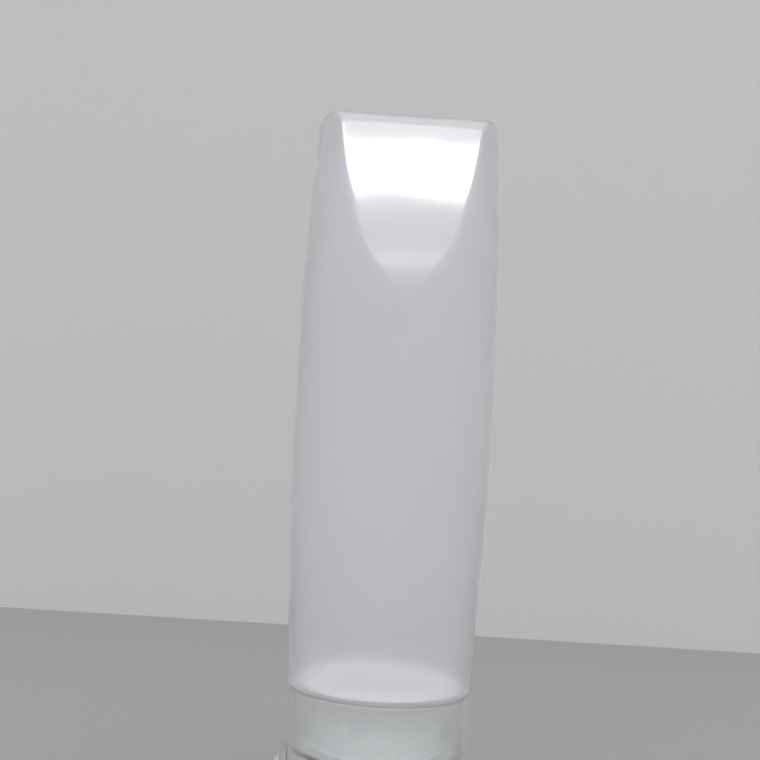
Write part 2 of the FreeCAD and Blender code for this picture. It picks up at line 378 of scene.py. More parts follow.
def level_rays(angles):
    """Level unit vectors (cos a, sin a, 0)."""
    return np.stack([np.cos(angles), np.sin(angles), np.zeros_like(angles)], -1)


def level_rows(distance, heights, angles, far):
    """Grid of the points where level rays from the axis leave a form: a row for each height."""
    rays = np.broadcast_to(level_rays(angles), (len(heights), len(angles), 3))
    return surface_along(distance, heights[:, None, None] * UP, rays, far)


def thread_rise(angles, height, start, turns, sizes):
    """Rise of a right-handed screw ridge above its wall.

    The ridge's middle lies at start + pitch * w, where w is the winding angle / 2 pi plus a whole number. The
    rise is full inside the crest's width, falls evenly to nothing at the root's width, and fades out over a
    small part of a turn at both ends.
    """
    end_fade = 0.07
    winding = angles / (2 * np.pi) + np.arange(-1, 4)[:, None, None]
    away = np.abs(height - start - sizes.thread_pitch * winding)
    slope = (sizes.thread_root_width - sizes.thread_crest_width) / 2
    ridge = np.clip((sizes.thread_root_width / 2 - away) / slope, 0, 1)
    ends = np.clip(np.minimum(winding, turns - winding) / end_fade, 0, 1)
    return sizes.thread_height * np.max(ridge * np.sin(ends * np.pi / 2), 0)


# Shape of the bottle

BODY_REACH = 0.07  # length of the rays that find the body, which all end outside it
BODY_ANGLES = 208  # angles once round, without the closer ones at the mould line
FAN_DEPTH = 0.024  # how far below the closed end the fan of rays starts
CLOSE_LENGTH = 0.018  # height of the closer rows below that, where the flats' lower tips lie
ROW_GAP = 0.002  # from the last closer row to the first wider one
SIDE_END = 0.002  # how far above the shoulder the side's rows end
LEAST_ROUND = 0.0004
NECK_ROUND = 0.00035
NECK_STEP = 0.00009  # longest run on the neck, fine enough for its thread
BODY_STEP = 0.0012  # the same elsewhere below the side's rows


def body_distance(point, sizes, inset, seam):
    """Signed distance to the body moved inwards by inset.

    The side is an arc turned about Z, each flat is a sloping plane, and the end is a level plane. Flats and
    end meet in the larger round, and what they leave meets the side in the smaller one. The seam is a low
    ridge seam * exp(-(y / width)^2) along the mould's parting plane y = 0, and the wall is a little uneven:
    it sinks by waviness * (1 + sin(x / a + 1.1 sin(z / b)) sin(z / c + 0.8 sin(x / d + 2))).
    """
    x, y, z = point[..., 0], np.abs(point[..., 1]), point[..., 2]
    slope = math.atan2(sizes.body_radius - sizes.flat_half_depth, sizes.flat_length)
    end_round = max(sizes.end_edge_round - inset, LEAST_ROUND)
    crease_round = max(sizes.crease_round - inset, LEAST_ROUND)

    def wedge(depth, height):
        above = height - sizes.end_height
        flat = (depth - sizes.flat_half_depth) * math.cos(slope) + above * math.sin(slope) + inset
        return rounded_meeting(flat, above + inset, math.sin(slope), end_round)

    tiny = 1e-6
    cut = wedge(y, z)
    cut_y, cut_z = (wedge(y + tiny, z) - cut) / tiny, (wedge(y, z + tiny) - cut) / tiny
    radius = np.hypot(x, y)
    out = radius + sizes.side_arc_radius - sizes.body_radius
    rise = z - sizes.belly_height
    far = np.hypot(out, rise)
    side = far - sizes.side_arc_radius + inset
    cosine = (out * y / np.maximum(radius, tiny) * cut_y + rise * cut_z) / far
    form = rounded_meeting(side, cut, np.clip(cosine, -0.999, 0.99999), crease_round)
    a, b, c, d = 0.0031, 0.0047, 0.0039, 0.0043
    wave = np.sin(x / a + 1.1 * np.sin(z / b)) * np.sin(z / c + 0.8 * np.sin(x / d + 2))
    return form + seam * (1 - np.exp(-(y / sizes.seam_width) ** 2)) + sizes.waviness * (1 + wave)


def side_radius(height, sizes, inset):
    """Radius of the bulging side at a height, moved inwards by inset."""
    arc, rise = sizes.side_arc_radius - inset, height - sizes.belly_height
    return sizes.body_radius - sizes.side_arc_radius + math.sqrt(arc ** 2 - rise ** 2)


def body_rows(sizes, inset, seam, angles, fan_rows, heights):
    """Rows of the body from its closed end down: a fan of rays from the axis, then level rays.

    The fan's rays start from the first height, and tilt from straight up to level.
    """
    def distance(point):
        return body_distance(point, sizes, inset, seam)

    tilts = np.radians(np.linspace(90, 0, fan_rows))[:, None, None]
    fan = np.cos(tilts) * level_rays(angles) + np.sin(tilts) * UP
    top = surface_along(distance, heights[0] * UP, fan, BODY_REACH)
    return np.concatenate([top, level_rows(distance, heights[1:], angles, BODY_REACH)])


def bottle_grid(sizes):
    """Grid of the whole bottle: outside from the closed end to the shoulder, neck, bore, and inside up.

    The rows are closer down to the flats' lower tips, and the angles are closer at the mould line.
    """
    fan_rows, close_rows, wide_rows = 112, 18, 28
    inner_fan_rows, inner_rows = 72, 30
    angles = angles_round(BODY_ANGLES, (0, np.pi), 9)
    fan_height = sizes.end_height - FAN_DEPTH
    close_end = fan_height - CLOSE_LENGTH
    shoulder, rim = sizes.shoulder_height, sizes.rim_height
    near = shoulder + SIDE_END
    outer_heights = np.concatenate([
        np.linspace(fan_height, close_end, close_rows),
        np.linspace(close_end - ROW_GAP, near, wide_rows),
    ])
    inner_heights = np.linspace(fan_height, near + sizes.wall, inner_rows)
    outside = body_rows(sizes, 0, sizes.seam_height, angles, fan_rows, outer_heights)
    inside = body_rows(sizes, sizes.wall, 0, angles, inner_fan_rows, inner_heights)[::-1]
    bevel, bevel_round, inner_shoulder_round = 0.0008, 0.0003, 0.0009
    low_inside = shoulder + sizes.shoulder_wall
    outline = rounded([
        (side_radius(near, sizes, sizes.seam_height), near, 0),
        (side_radius(shoulder, sizes, sizes.seam_height), shoulder, sizes.shoulder_round),
        (sizes.neck_radius + bevel, shoulder, bevel_round),
        (sizes.neck_radius, shoulder - bevel, LEAST_ROUND),
        (sizes.neck_radius, rim, NECK_ROUND),
        (sizes.neck_bore_radius, rim, NECK_ROUND),
        (sizes.neck_bore_radius, low_inside, LEAST_ROUND),
        (side_radius(low_inside, sizes, sizes.wall), low_inside, inner_shoulder_round),
        (side_radius(near + sizes.wall, sizes, sizes.wall), near + sizes.wall, 0),
    ], False)[1:-1]

    def step(middle):
        radius, height = middle.T
        on_neck = (np.abs(radius - sizes.neck_radius) < 10 * ON_WALL) & (height < shoulder - bevel)
        return np.where(on_neck, NECK_STEP, BODY_STEP)

    outline = subdivided(outline, step)
    on_neck = np.abs(outline[:, 0] - sizes.neck_radius) < ON_WALL
    start = rim + sizes.thread_from_rim + sizes.thread_root_width / 2
    rise = thread_rise(angles[None], outline[:, 1:], start, sizes.thread_turns, sizes) * on_neck[:, None]
    lower = np.stack([outline[:, :1] + rise, np.broadcast_to(outline[:, 1:], rise.shape)], -1)
    return np.concatenate([outside, turned(lower, angles), inside])


# Shape of the cap and lid

CAP_REACH = 0.03  # length of the rays that find the cap's and the lid's walls
CAP_ANGLES = 216  # angles once round, without the closer ones beside bosses and lip
BOSS_FILLET = 0.0003
INNER_ROUND = 0.0004
FACE_ROUND = 0.0005
FINE_STEP = 0.00011  # longest run at the collar's thread and at the edges of bosses and lip
WALL_STEP = 0.0003  # the same on the outer wall beside them
COARSE_STEP = 0.0015  # the same elsewhere
WALL_MARGIN = 0.0003  # how far within the outer radius a point still belongs to the wall


def cap_radius(height, sizes):
    """Outer radius of the cap and lid, which narrow a little towards the lid's face."""
    return sizes.rim_radius - sizes.taper * (sizes.rim_height - height)


def boss_distance(point, parting, upwards, sizes):
    """Signed distance to a hinge boss: a block with rounded far and upright edges, up to the axis."""
    face = -point[..., 0] - sizes.boss_face
    top = (point[..., 2] - parting) * upwards - sizes.boss_height
    side = np.abs(point[..., 1]) - sizes.boss_width / 2
    block = rounded_meeting(face, top, 0, sizes.boss_top_round)
    return np.maximum(rounded_meeting(block, side, 0, sizes.boss_side_round), point[..., 0])


def cap_wall_distance(point, sizes):
    """Signed distance to the cap's outside: tapered skirt, upper hinge boss and a ball-shaped thumb scoop."""
    skirt = np.hypot(point[..., 0], point[..., 1]) - cap_radius(point[..., 2], sizes)
    form = joined(skirt, boss_distance(point, sizes.parting_height, 1, sizes), BOSS_FILLET)
    centre = cap_radius(sizes.parting_height, sizes) + sizes.scoop_radius - sizes.scoop_depth
    scoop = np.linalg.norm(point - np.array([centre, 0, sizes.parting_height]), axis=-1) - sizes.scoop_radius
    return rounded_meeting(form, -scoop, 0, INNER_ROUND)


def lid_wall_distance(point, sizes):
    """Signed distance to the lid's outside: tapered wall, lower hinge boss, and thumb lip along its rim."""
    lip_edge_round, lip_side_round = 0.0005, 0.0006
    radius = np.hypot(point[..., 0], point[..., 1])
    wall = radius - cap_radius(point[..., 2], sizes)
    form = joined(wall, boss_distance(point, sizes.lid_rim_height, -1, sizes), BOSS_FILLET)
    reach = radius - cap_radius(sizes.lid_rim_height, sizes) - sizes.lip_reach
    side = np.abs(point[..., 1]) - sizes.lip_width / 2
    below = sizes.lid_rim_height - sizes.lip_thickness - point[..., 2]
    lip = rounded_meeting(rounded_meeting(reach, below, 0, lip_edge_round), side, 0, lip_side_round)
    return joined(form, np.maximum(lip, -point[..., 0]), INNER_ROUND)


def walled_grid(outline, angles, distance, rim, sizes):
    """Grid of a turned outline whose outer wall is carried out or in to where level rays meet a form.

    A point on the outer wall moves by the form's radius less the plain cap's radius. On the level face at the
    rim, the move fades in a straight line to nothing at the face's inner edge, and inner walls stay.
    """
    rim_band, rim_fade, wall_fade = 0.00026, 0.0013, 0.0004
    radius, height = outline[:, 0], outline[:, 1]
    wall = level_rows(distance, height, angles, CAP_REACH)
    plain = cap_radius(height, sizes)
    move = np.hypot(wall[..., 0], wall[..., 1]) - plain[:, None]
    at_rim = np.abs(height - rim) < rim_band
    fade = np.clip(1 - (plain - radius) / np.where(at_rim, rim_fade, wall_fade), 0, 1)
    moved = radius[:, None] + fade[:, None] * move
    return turned(np.stack([moved, np.broadcast_to(height[:, None], moved.shape)], -1), angles)


def cap_angles(sizes):
    """Angles for cap and lid, closer together at the sides of the hinge boss and of the thumb lip."""
    corner_radius = sizes.rim_radius + WALL_MARGIN
    boss = math.asin(sizes.boss_width / 2 / corner_radius)
    lip = math.asin(sizes.lip_width / 2 / corner_radius)
    return angles_round(CAP_ANGLES, (np.pi - boss, np.pi + boss, lip, -lip), 13)


def cap_grid(sizes, bottle):
    """Grid of the cap: collar with its inner thread, skirt, snap ring with its bead, deck and spout."""
    edge, parting = sizes.edge_round, sizes.parting_height
    spout = sizes.spout_bore_radius + sizes.spout_wall
    spout_flare, spout_foot_round = 0.0004, 0.0008
    ring_low, ring_edge_round = parting - sizes.ring_depth, 0.0002
    ring_inner = sizes.ring_radius - sizes.ring_wall
    bead = sizes.ring_radius + sizes.bead_height
    bead_start, bead_flank, bead_round = 0.0003, 0.00015, 0.0001
    outline = rounded([
        (sizes.spout_bore_radius, sizes.deck_inner_height, edge),
        (sizes.collar_bore_radius, sizes.deck_inner_height, edge),
        (sizes.collar_bore_radius, sizes.collar_height, edge),
        (sizes.collar_radius, sizes.collar_height, edge),
        (sizes.collar_radius, sizes.deck_inner_height, INNER_ROUND),
        (cap_radius(sizes.deck_inner_height, sizes) - sizes.wall, sizes.deck_inner_height, INNER_ROUND),
        (sizes.rim_radius - sizes.wall, sizes.rim_height, edge),
        (sizes.rim_radius, sizes.rim_height, edge),
        (cap_radius(parting, sizes), parting, edge),
        (sizes.ring_radius, parting, bead_round),
        (sizes.ring_radius, parting - bead_start, 0),
        (bead, parting - bead_start - bead_flank, bead_round),
        (bead, parting - bead_start - 2 * bead_flank, bead_round),
        (sizes.ring_radius, parting - bead_start - 3 * bead_flank, 0),
        (sizes.ring_radius, ring_low, ring_edge_round),
        (ring_inner, ring_low, edge),
        (ring_inner, sizes.deck_outer_height, FACE_ROUND),
        (spout + spout_flare, sizes.deck_outer_height, spout_foot_round),
        (spout, sizes.spout_tip_height, INNER_ROUND),
        (sizes.spout_bore_radius, sizes.spout_tip_height, edge),
    ], True)
    boss_top, band_above = parting + sizes.boss_height, 0.0005

    def step(middle):
        radius, height = middle.T
        in_bore = np.abs(radius - sizes.collar_bore_radius) < 10 * ON_WALL
        outside = radius > cap_radius(height, sizes) - WALL_MARGIN
        at_edge = np.abs(height - boss_top + sizes.boss_top_round / 2) < sizes.boss_top_round
        beside_boss = height < boss_top + band_above
        fine = in_bore | (outside & at_edge)
        return np.select([fine, outside & beside_boss], [FINE_STEP, WALL_STEP], COARSE_STEP)

    outline = subdivided(outline, step)
    angles = cap_angles(sizes)
    grid = walled_grid(outline, angles, lambda point: cap_wall_distance(point, sizes), parting, sizes)
    in_bore = np.abs(outline[:, 0] - sizes.collar_bore_radius) < ON_WALL
    neck_start = bottle.rim_height + bottle.thread_from_rim + bottle.thread_root_width / 2
    thread_width = (bottle.thread_root_width + bottle.thread_crest_width) / 2
    start = neck_start + thread_width + sizes.thread_flank_gap
    rise = thread_rise(angles[None], outline[:, 1:], start, bottle.thread_turns, bottle) * in_bore[:, None]
    grid[..., :2] *= (1 - rise / outline[:, :1])[..., None]
    return grid


def lid_grid(sizes):
    """Grid of the lid: recessed face, wall with boss and lip, inner face and the pin for the spout."""
    face, rim = sizes.lid_face, sizes.lid_rim_height
    recess_flank, rim_round, inner_face_round = 0.0005, 0.0002, 0.0006
    plug_flare, plug_taper, plug_round = 0.0001, 0.0003, 0.0002
    outline = rounded([
        (0, sizes.lid_recess, 0),
        (sizes.lid_recess_radius, sizes.lid_recess, INNER_ROUND),
        (sizes.lid_recess_radius + recess_flank, 0, INNER_ROUND),
        (cap_radius(0, sizes), 0, sizes.lid_edge_round),
        (cap_radius(rim, sizes), rim, rim_round),
        (sizes.lid_inner_radius, rim, rim_round),
        (sizes.lid_inner_radius, face, inner_face_round),
        (sizes.plug_radius + plug_flare, face, FACE_ROUND),
        (sizes.plug_radius, sizes.spout_tip_height, plug_round),
        (sizes.plug_radius - plug_taper, sizes.plug_tip_height, sizes.edge_round),
        (0, sizes.plug_tip_height, 0),
    ], False)
    boss_low, lip_low = rim - sizes.boss_height, rim - sizes.lip_thickness
    band_below = 0.0006

    def step(middle):
        radius, height = middle.T
        outside = (radius > cap_radius(height, sizes) - WALL_MARGIN) & (height > sizes.lid_edge_round)
        near_boss = np.abs(height - boss_low - sizes.boss_top_round / 2) < sizes.boss_top_round
        near_lip = height > lip_low - band_below
        return np.select([outside & (near_boss | near_lip), outside], [FINE_STEP, WALL_STEP], COARSE_STEP)

    outline = subdivided(outline, step)
    return walled_grid(outline, cap_angles(sizes), lambda point: lid_wall_distance(point, sizes), rim, sizes)


def web_grid(sizes):
    """Grid of the living hinge: a rounded strip's section carried round half a circle between the boss faces.

    The section is thinned by 0.3 times the cosine squared of the angle and narrowed by 0.04 times that, and
    both ends close in the middle of the section, sunk a little way into the bosses.
    """
    thinning, narrowing, sunk, section_round = 0.3, 0.04, 0.0002, 0.00015
    bow_rows, section_step = 49, 0.0004
    half_width, half_thick = sizes.strap_width / 2, sizes.strap_thickness / 2
    section = subdivided(rounded([
        (-half_width, -half_thick, section_round),
        (half_width, -half_thick, section_round),
        (half_width, half_thick, section_round),
        (-half_width, half_thick, section_round),
    ], True), lambda middle: section_step)
    across, out = section.T
    turn = np.linspace(-np.pi / 2, np.pi / 2, bow_rows)[:, None]
    waist = np.cos(turn) ** 2
    bow = sizes.strap_bow_radius - half_thick + out * (1 - thinning * waist)
    x = -sizes.boss_face - bow * np.cos(turn)
    y = across * (1 - narrowing * waist)
    z = (sizes.parting_height + sizes.lid_rim_height) / 2 + bow * np.sin(turn)
    rows = np.stack(np.broadcast_arrays(x, y, z), -1)
    inwards = np.array([sunk, 0, 0])
    first, last = rows[:1] + inwards, rows[-1:] + inwards
    poles = [np.broadcast_to(end.mean(1, keepdims=True), end.shape) for end in (first, last)]
    return np.concatenate([poles[0], first, rows, last, poles[1]])


def seal_grid(sizes):
    """Grid of the foam ring between the neck's rim and the deck."""
    inner, outer = sizes.seal_bore_radius, seal_high.x
    foam_round, foam_step, foam_angles = 0.0002, 0.001, 120
    outline = rounded([
        (inner, seal_low.z, foam_round),
        (outer, seal_low.z, foam_round),
        (outer, seal_high.z, foam_round),
        (inner, seal_high.z, foam_round),
    ], True)
    return turned(subdivided(outline, lambda middle: foam_step)[:, None], angles_round(foam_angles))


# Nodes that the finishes share

def feed(tree, socket, value):
    """Give a socket a number, or a link from another node's output."""
    if isinstance(value, bpy.types.NodeSocket):
        tree.links.new(value, socket)
    else:
        socket.default_value = value


def math_node(tree, operation, *values):
    """Math node's result for numbers or other nodes' outputs."""
    node = tree.nodes.new("ShaderNodeMath")
    node.operation = operation
    for socket, value in zip(node.inputs, values):
        feed(tree, socket, value)
    return node.outputs[0]


def noise_node(tree, vector, scale, detail, roughness=0.5):
    """Noise texture's value at a vector."""
    node = tree.nodes.new("ShaderNodeTexNoise")
    for name, value in (("Vector", vector), ("Scale", scale), ("Detail", detail), ("Roughness", roughness)):
        feed(tree, node.inputs[name], value)
    return node.outputs[0]


def range_node(tree, value, low, high):
    """Value mapped smoothly from between low and high to 0 to 1."""
    node = tree.nodes.new("ShaderNodeMapRange")
    node.interpolation_type = "SMOOTHSTEP"
    for name, given in (("Value", value), ("From Min", low), ("From Max", high)):
        feed(tree, node.inputs[name], given)
    return node.outputs[0]


def tint_node(tree, factor, first, second):
    """Colour from first to second by a factor."""
    node = tree.nodes.new("ShaderNodeMix")
    node.data_type = "RGBA"
    node.inputs["A"].default_value = (*first, 1)
    node.inputs["B"].default_value = (*second, 1)
    tree.links.new(factor, node.inputs["Factor"])
    return node.outputs["Result"]


def bump_node(tree, height, distance):
    """Normal of a surface with that height over it."""
    node = tree.nodes.new("ShaderNodeBump")
    node.inputs["Distance"].default_value = distance
    tree.links.new(height, node.inputs["Height"])
    return node.outputs[0]


def new_group(name, inputs, output):
    """Empty shader node group with number inputs beside its vector, and its input and output nodes."""
    group = bpy.data.node_groups.new(name, "ShaderNodeTree")
    group.interface.new_socket(name="Vector", in_out="INPUT", socket_type="NodeSocketVector")
    for socket, value in inputs.items():
        made = group.interface.new_socket(name=socket, in_out="INPUT", socket_type="NodeSocketFloat")
        made.default_value = value
    group.interface.new_socket(name=output, in_out="OUTPUT", socket_type="NodeSocketFloat")
    return group, group.nodes.new("NodeGroupInput").outputs, group.nodes.new("NodeGroupOutput").inputs[output]


def frost_grain_group(name):
    """Height in metres of a frosted moulded skin: fine etched grain on slow waves of the wall."""
    group, given, result = new_group(name, {
        "Grain Scale": 2200.0,
        "Grain Height": 0.000006,
        "Wave Scale": 70.0,
        "Wave Height": 0.0001,
    }, "Height")
    grain = noise_node(group, given["Vector"], given["Grain Scale"], detail=2.0, roughness=0.6)
    wave = noise_node(group, given["Vector"], given["Wave Scale"], detail=1.0, roughness=0.4)
    grain_height = math_node(group, "MULTIPLY", grain, given["Grain Height"])
    wave_height = math_node(group, "MULTIPLY", wave, given["Wave Height"])
    group.links.new(math_node(group, "ADD", grain_height, wave_height), result)
    return group


def handling_group(name):
    """Mask of handling marks: soft rub patches with ragged edges."""
    group, given, result = new_group(name, {"Patch Scale": 60.0, "Amount": 0.5}, "Mask")
    noise = noise_node(group, given["Vector"], given["Patch Scale"], detail=4.0)
    patch = range_node(group, noise, low=0.5, high=0.75)
    group.links.new(math_node(group, "MULTIPLY", patch, given["Amount"]), result)
    return group


def cloud_group(name):
    """Mask of cloudiness in the plastic: slow clouds, and more of it past a low and a high level along Z."""
    group, given, result = new_group(name, {
        "Cloud Scale": 35.0,
        "Low Level": 0.0,
        "High Level": 1.0,
        "Level Fade": 0.01,
    }, "Mask")
    cloud_share = 0.55
    split = group.nodes.new("ShaderNodeSeparateXYZ")
    group.links.new(given["Vector"], split.inputs[0])
    level, fade = split.outputs["Z"], given["Level Fade"]
    below = math_node(group, "DIVIDE", math_node(group, "SUBTRACT", given["Low Level"], level), fade)
    above = math_node(group, "DIVIDE", math_node(group, "SUBTRACT", level, given["High Level"]), fade)
    ends = range_node(group, math_node(group, "MAXIMUM", below, above), low=-1.0, high=1.0)
    noise = noise_node(group, given["Vector"], given["Cloud Scale"], detail=3.0)
    cloud = math_node(group, "MULTIPLY", range_node(group, noise, low=0.3, high=0.75), cloud_share)
    group.links.new(math_node(group, "MAXIMUM", cloud, ends), result)
    return group


GROUPS = {"Frost Grain": frost_grain_group, "Handling Marks": handling_group, "Plastic Clouds": cloud_group}


def placed(tree, name, vector, values):
    """Result of a shared group, made where it isn't there yet, with a material's own values."""
    node = tree.nodes.new("ShaderNodeGroup")
    node.node_tree = bpy.data.node_groups.get(name) or GROUPS[name](name)
    tree.links.new(vector, node.inputs["Vector"])
    for socket, value in values.items():
        node.inputs[socket].default_value = value
    return node.outputs[0]


def new_material(name):
    """Material with its node tree, its Principled shader and the piece's own coordinates."""
    material = bpy.data.materials.new(name)
    material.use_nodes = True
    tree = material.node_tree
    place = tree.nodes.new("ShaderNodeTexCoord").outputs["Object"]
    return material, tree, tree.nodes["Principled BSDF"], place


# Finishes

PLASTIC_IOR = 1.3
PLASTIC_SHEEN = 0.25
GLOSS_ROUGHNESS = 0.065
BLOWN_SKIN = {
    "grain": {"Grain Scale": 2200.0, "Grain Height": 0.000006, "Wave Scale": 60.0, "Wave Height": 0.00012},
    "marks": {"Patch Scale": 55.0, "Amount": 0.35},
    "clouds": {"Cloud Scale": 30.0, "Level Fade": 0.004},
    "rubbed": 0.12,
}
INNER_SKIN = {
    "grain": {"Grain Scale": 900.0, "Grain Height": 0.000003, "Wave Scale": 60.0, "Wave Height": 0.00012},
    "marks": {"Patch Scale": 40.0, "Amount": 0.14},
    "clouds": {"Cloud Scale": 30.0, "Level Fade": 0.004},
    "rubbed": 0.1,
}
MOULDED_SKIN = {
    "grain": {"Grain Scale": 3200.0, "Grain Height": 0.000004, "Wave Scale": 120.0, "Wave Height": 0.00004},
    "marks": {"Patch Scale": 90.0, "Amount": 0.42},
    "clouds": {"Cloud Scale": 60.0, "Level Fade": 0.001},
    "rubbed": 0.14,
}


def plastic_material(name, skin, thin, milky, frost, clearness, passed, gloss, levels):
    """Frosted plastic: tint by cloudiness, roughness by handling marks, grain as bump.

    A skin holds the values of the shared groups and the roughness that a rub mark adds, and the plastic is
    milky below the first and above the second of the levels.
    Rays from a surface to a lamp pass each skin with the share passed, so that lamps reach what is behind.
    """
    material, tree, shader, place = new_material(name)
    for socket, value in (
        ("Transmission Weight", clearness),
        ("IOR", PLASTIC_IOR),
        ("Sheen Weight", PLASTIC_SHEEN),
        ("Coat Weight", gloss),
        ("Coat Roughness", GLOSS_ROUGHNESS),
    ):
        shader.inputs[socket].default_value = value
    clouds = {**skin["clouds"], "Low Level": levels[0], "High Level": levels[1]}
    colour = tint_node(tree, placed(tree, "Plastic Clouds", place, clouds), thin, milky)
    tree.links.new(colour, shader.inputs["Base Color"])
    mark = placed(tree, "Handling Marks", place, skin["marks"])
    rough = math_node(tree, "ADD", frost, math_node(tree, "MULTIPLY", mark, skin["rubbed"]))
    tree.links.new(rough, shader.inputs["Roughness"])
    grain = placed(tree, "Frost Grain", place, skin["grain"])
    tree.links.new(bump_node(tree, grain, distance=1.0), shader.inputs["Normal"])
    clear = tree.nodes.new("ShaderNodeBsdfTransparent")
    clear.inputs["Color"].default_value = (passed, passed, passed, 1)
    choice = tree.nodes.new("ShaderNodeMixShader")
    tree.links.new(tree.nodes.new("ShaderNodeLightPath").outputs["Is Shadow Ray"], choice.inputs["Fac"])
    tree.links.new(shader.outputs[0], choice.inputs[1])
    tree.links.new(clear.outputs[0], choice.inputs[2])
    tree.links.new(choice.outputs[0], tree.nodes["Material Output"].inputs["Surface"])
    return material


def body_levels(sizes):
    """Levels just above the shoulder and just under the closed end, past which the body is milky."""
    above_shoulder, under_end = 0.001, 0.003
    return sizes.shoulder_height + above_shoulder, sizes.end_height - under_end


def body_material(name, values):
    """Frosted milky polyethylene of the squeeze bottle."""
    finish = values.finish
    return plastic_material(name, BLOWN_SKIN, finish.body_tint, finish.body_milk_tint, finish.body_frost,
                            clearness=finish.body_clearness, passed=0.9, gloss=1.0,
                            levels=body_levels(values.bottle))


def inner_material(name, values):
    """The body's inner skin, which no mould touches, so that it has no gloss of its own from outside."""
    finish = values.finish
    return plastic_material(name, INNER_SKIN, finish.body_tint, finish.body_milk_tint, finish.body_frost,
                            clearness=finish.body_clearness, passed=0.9, gloss=0.0,
                            levels=body_levels(values.bottle))


def shoulder_material(name, values):
    """The same polyethylene at the shoulder and neck, where the thick wall lets less light through."""
    finish, sizes = values.finish, values.bottle
    return plastic_material(name, BLOWN_SKIN, finish.body_milk_tint, finish.body_milk_tint, finish.body_frost,
                            clearness=finish.shoulder_clearness, passed=0.85, gloss=0.0,
                            levels=(sizes.rim_height, sizes.shoulder_height))


def cap_material(name, values):
    """Frosted polypropylene of the cap, lid and living hinge, a little clearer and harder."""
    finish = values.finish
    above_face, under_rim = 0.0008, 0.0002
    return plastic_material(name, MOULDED_SKIN, finish.cap_tint, finish.cap_milk_tint, finish.cap_frost,
                            clearness=finish.cap_clearness, passed=0.9, gloss=0.6,
                            levels=(above_face, values.cap.rim_height - under_rim))


def collar_material(name, values):
    """The cap's polypropylene at the threaded collar, whose thread and thick wall scatter more light."""
    finish, sizes = values.finish, values.cap
    return plastic_material(name, MOULDED_SKIN, finish.cap_milk_tint, finish.cap_milk_tint, finish.cap_frost,
                            clearness=finish.collar_clearness, passed=0.85, gloss=0.0,
                            levels=(sizes.deck_inner_height, sizes.collar_height))


def foam_material(name, values):
    """Closed-cell foam of the sealing ring: small pits, darkened by painted shade, over a soft matte ground.
    """
    pit_shade, pit_depth, cell_scale = 0.8, 0.00005, 2600.0
    colour = values.finish.seal_tint
    # Painted shade: the foam's colour darkened inside the pits, where shade falls
    painted_pit_shade_colour = [pit_shade * channel for channel in colour]
    material, tree, shader, place = new_material(name)
    shader.inputs["Roughness"].default_value = 0.85
    cells = tree.nodes.new("ShaderNodeTexVoronoi")
    cells.inputs["Scale"].default_value = cell_scale
    tree.links.new(place, cells.inputs["Vector"])
    pit = range_node(tree, cells.outputs["Distance"], low=0.1, high=0.55)
    # Painted shade follows the pit's depth, the same mask that drives the bump
    tree.links.new(tint_node(tree, pit, painted_pit_shade_colour, colour), shader.inputs["Base Color"])
    tree.links.new(bump_node(tree, pit, pit_depth), shader.inputs["Normal"])
    return material


FINISHES = {
    "Frosted Body": body_material,
    "Inner Skin": inner_material,
    "Milky Shoulder": shoulder_material,
    "Frosted Cap": cap_material,
    "Milky Collar": collar_material,
    "Sealing Foam": foam_material,
}


def finished(values, *names):
    """Materials of those names, each made the first time that a piece asks for it."""
    return [bpy.data.materials.get(name) or FINISHES[name](name, values) for name in names]


# Stage

SENSOR_WIDTH = 36
STAGE_REACH = 1.4  # how far the floor reaches to each side and towards the camera, and the backdrop up
MIRRORED_AZIMUTH = 3  # where the column of softboxes stands that the flat mirrors
MIRRORED_DISTANCE = 0.6
MIRRORED_WIDTH = 0.3


def stage_turn(values):
    """Turn about Z that takes the camera's own frame to the bottle's."""
    return Matrix.Rotation(values.camera_turn, 4, "Z")


def facing(aim, azimuth, elevation, distance, values):
    """Placing that faces a point from an azimuth (0 is the camera's side) and an elevation in degrees."""
    a, e = math.radians(azimuth), math.radians(elevation)
    back = Vector((math.sin(a) * math.cos(e), -math.cos(a) * math.cos(e), math.sin(e)))
    turn = back.to_track_quat("Z", "Y").to_matrix().to_4x4()
    return stage_turn(values) @ (Matrix.Translation(aim + back * distance) @ turn)


def add_camera(values):
    """Camera at the photograph's angle, from its yaw, pitch and roll."""
    yaw, pitch, roll = values.camera_yaw, values.camera_pitch, values.camera_roll
    ahead = Vector((math.sin(yaw) * math.cos(pitch), math.cos(yaw) * math.cos(pitch), math.sin(pitch)))
    level = Vector((math.cos(yaw), -math.sin(yaw), 0))
    upright = level.cross(ahead)
    right = math.cos(roll) * level - math.sin(roll) * upright
    up = math.sin(roll) * level + math.cos(roll) * upright
    basis = Matrix((right, up, -ahead)).transposed().to_4x4()
    basis.translation = Vector((0, -values.camera_distance, values.camera_height))
    data = bpy.data.cameras.new("photo_camera")
    data.sensor_width = SENSOR_WIDTH
    data.lens = values.camera_lens
    data.clip_start = 0.005
    camera = bpy.data.objects.new("photo_camera", data)
    camera.matrix_world = stage_turn(values) @ basis
    bpy.context.scene.collection.objects.link(camera)
    bpy.context.scene.camera = camera


def add_sheet(name, width, height, placing, colour):
    """Plain matt rectangle about the origin, moved by a placing."""
    x, y = width / 2, height / 2
    mesh = bpy.data.meshes.new(name)
    mesh.from_pydata([(-x, -y, 0), (x, -y, 0), (x, y, 0), (-x, y, 0)], [], [(0, 1, 2, 3)])
    mesh.transform(placing)
    material = bpy.data.materials.new(name)
    material.use_nodes = True
    shader = material.node_tree.nodes["Principled BSDF"]
    shader.inputs["Base Color"].default_value = (*colour, 1)
    shader.inputs["Roughness"].default_value = 0.9
    mesh.materials.append(material)
    sheet = bpy.data.objects.new(name, mesh)
    bpy.context.scene.collection.objects.link(sheet)
    return sheet


